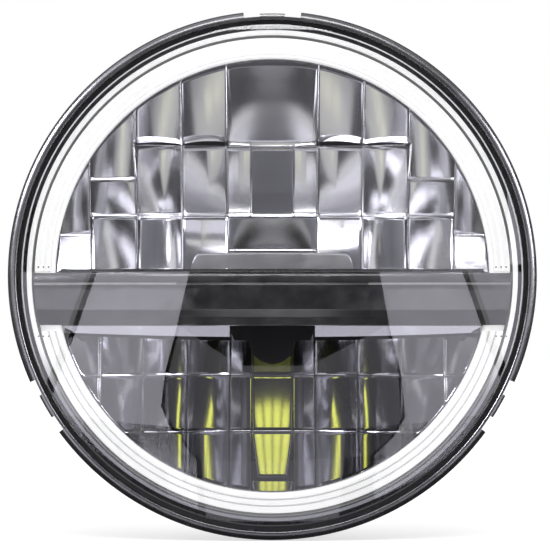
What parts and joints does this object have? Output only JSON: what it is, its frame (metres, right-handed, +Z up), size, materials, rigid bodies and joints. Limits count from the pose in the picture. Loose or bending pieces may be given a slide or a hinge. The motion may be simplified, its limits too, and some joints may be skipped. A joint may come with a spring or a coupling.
{
  "type": "round motorcycle headlight",
  "caption": "Round sealed LED headlight with a clear domed lens, halo light guides, a dark crossbar, two faceted reflectors and a finned cast housing.",
  "frame": {"origin": "on the lamp's axis, in the plane of the rim's rear seating face", "axes": "+X right as seen from the front, +Y along the lamp's axis to the rear, +Z up; the lens faces -Y"},
  "size_m": [0.178, 0.102, 0.1775],
  "materials": {
    "cast_aluminium": "satin",
    "machined_aluminium": "satin",
    "clear_lens": "gloss",
    "seal_rubber": "matte",
    "tray_plastic": "satin",
    "light_guide": "gloss",
    "reflector_plating": "polished",
    "black_gloss": "gloss",
    "black_plastic": "satin",
    "board": "satin",
    "white_board": "satin",
    "led_phosphor": "satin",
    "thermal_pad": "matte",
    "lead_insulation": "satin",
    "screw_steel": "satin",
    "inductor_ferrite": "matte",
    "capacitor_can": "satin",
    "cover_satin": "satin",
    "blade_brass": "satin"
  },
  "bodies": {
    "root": {"housing": "cast_aluminium", "lens": "clear_lens", "lens_seal": "seal_rubber", "halo_tray": "tray_plastic", "upper_light_guide": "light_guide", "lower_light_guide": "light_guide", "halo_boards": "board", "halo_leds": "led_phosphor", "crossbar": "black_gloss", "upper_reflector": "reflector_plating", "lower_reflector": "reflector_plating", "led_shelf": "machined_aluminium", "thermal_pads": "thermal_pad", "low_beam_board": "white_board", "low_beam_leds": "led_phosphor", "high_beam_board": "white_board", "high_beam_leds": "led_phosphor", "high_beam_holder": "black_plastic", "low_beam_cover": "cover_satin", "low_beam_leads": "lead_insulation", "high_beam_leads": "lead_insulation", "shelf_screws": "screw_steel", "reflector_screws": "screw_steel", "driver_board": "board", "driver_board_screws": "screw_steel", "driver_inductors": "inductor_ferrite", "driver_capacitors": "capacitor_can", "driver_chips": "black_plastic", "rear_cover_gasket": "seal_rubber", "rear_cover": "cast_aluminium", "rear_cover_screws": "screw_steel", "connector_seal": "seal_rubber", "connector_socket": "black_plastic", "connector_blades": "blade_brass", "breather_vent": "black_plastic"}
  },
  "joints": []
}
